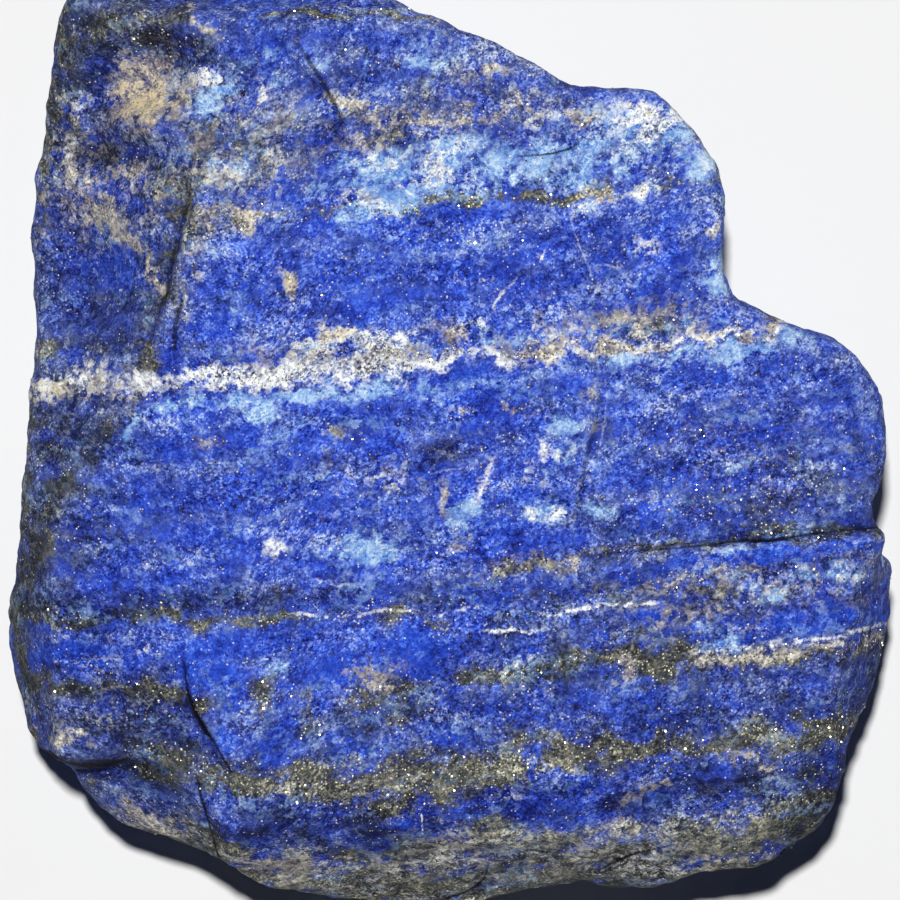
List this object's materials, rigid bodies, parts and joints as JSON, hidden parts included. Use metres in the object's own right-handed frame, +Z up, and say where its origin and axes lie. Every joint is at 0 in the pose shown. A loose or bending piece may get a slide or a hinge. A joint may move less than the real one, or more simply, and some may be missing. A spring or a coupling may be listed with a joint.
{
  "type": "rough lapis lazuli stone",
  "caption": "Rough broken block of banded blue lapis lazuli with a pale calcite vein and pyrite seams, lying on a small flat spot.",
  "frame": {"origin": "on the ground under the middle of the stone's plan", "axes": "+Z up through the broad face, +X along the beds of the stone, +Y across the beds towards its long upper edge"},
  "size_m": [0.0974, 0.1034, 0.0422],
  "materials": {
    "lapis": "rough broken surface, finely granular, with white calcite, grey bands and specks of pyrite"
  },
  "bodies": {
    "root": {"lapis_rock": "lapis"}
  },
  "joints": []
}
